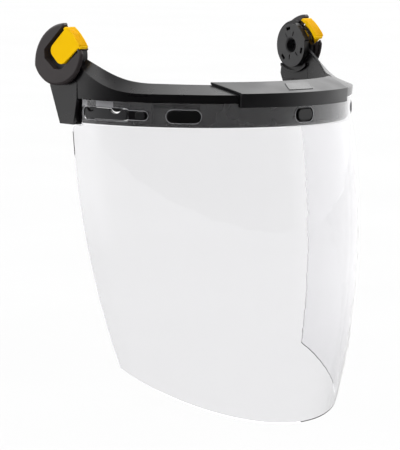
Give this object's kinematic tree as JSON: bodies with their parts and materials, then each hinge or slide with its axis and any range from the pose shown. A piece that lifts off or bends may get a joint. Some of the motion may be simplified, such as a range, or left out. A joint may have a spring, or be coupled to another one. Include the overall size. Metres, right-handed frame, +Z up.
{
  "type": "face shield",
  "caption": "Clear wraparound face shield on a curved brow band that swings up on two side hubs and comes off a helmet by push buttons.",
  "frame": {"origin": "middle of the pivot axis that joins the two side hubs", "axes": "+X along the pivot axis towards the wearer's left, -Y towards the front of the shield, +Z up"},
  "size_m": [0.2374, 0.1513, 0.2672],
  "materials": {
    "lens_clear": "clear polished polycarbonate",
    "frame_black": "fine-grained moulding",
    "cap_grey": "fine-grained moulding",
    "stud_grey": "smooth moulding",
    "boss_black": "smooth moulding",
    "latch_grey": "smooth moulding",
    "hub_black": "smooth moulding",
    "hub_cover": "fine-grained moulding",
    "pocket_black": "smooth moulding",
    "button_yellow": "smooth moulding",
    "washer_rubber": "plain",
    "ring_steel": "pressed spring steel",
    "latch_steel": "pressed steel plate",
    "spring_steel": "drawn wire"
  },
  "bodies": {
    "right_hub": {"right_hub_disc": "hub_black", "right_friction_washer": "washer_rubber", "right_retaining_ring": "ring_steel"},
    "visor": {"visor_frame": "frame_black", "front_cover": "cap_grey", "lens": "lens_clear", "right_lens_stud": "stud_grey", "left_lens_stud": "stud_grey", "right_lens_boss": "boss_black", "left_lens_boss": "boss_black", "centre_lens_boss": "boss_black", "right_outer_cover": "hub_cover", "left_outer_cover": "hub_cover", "right_pocket_floor": "pocket_black", "left_pocket_floor": "pocket_black", "right_button_spring": "spring_steel", "left_button_spring": "spring_steel"},
    "left_hub": {"left_hub_disc": "hub_black", "left_friction_washer": "washer_rubber", "left_retaining_ring": "ring_steel"},
    "right_button": {"right_release_button": "button_yellow", "right_latch_plate": "latch_steel"},
    "left_button": {"left_release_button": "button_yellow", "left_latch_plate": "latch_steel"},
    "right_latch": {"right_lens_latch": "latch_grey"},
    "left_latch": {"left_lens_latch": "latch_grey"}
  },
  "joints": [
    {"name": "visor_hinge", "type": "hinge", "parent": "right_hub", "child": "visor", "pos_m": [0, 0, 0], "axis": [-1, 0, 0], "range_deg": [0, 85]},
    {"name": "left_hub_turn", "type": "hinge", "parent": "visor", "child": "left_hub", "pos_m": [0.106, 0, 0], "axis": [-1, 0, 0], "range_deg": [-85, 0]},
    {"name": "right_button_press", "type": "slide", "parent": "visor", "child": "right_button", "axis": [0, 0.7071, -0.7071], "range_m": [0, 0.0022], "stiffness_N_per_m": 800, "springref_m": -0.002, "deforming": ["right_button_spring"]},
    {"name": "left_button_press", "type": "slide", "parent": "visor", "child": "left_button", "axis": [0, 0.7071, -0.7071], "range_m": [0, 0.0022], "stiffness_N_per_m": 800, "springref_m": -0.002, "deforming": ["left_button_spring"]},
    {"name": "right_latch_flex", "type": "hinge", "parent": "visor", "child": "right_latch", "pos_m": [-0.10039, -0.01949, -0.037], "axis": [0, 0, 1], "range_deg": [0, 4], "stiffness_Nm_per_rad": 0.3, "springref_deg": -2.86},
    {"name": "left_latch_flex", "type": "hinge", "parent": "visor", "child": "left_latch", "pos_m": [0.10039, -0.01949, -0.037], "axis": [0, 0, -1], "range_deg": [0, 4], "stiffness_Nm_per_rad": 0.3, "springref_deg": -2.86}
  ],
  "couplings": [
    {"joint": "left_hub_turn", "follows": "visor_hinge", "ratio": -1}
  ]
}
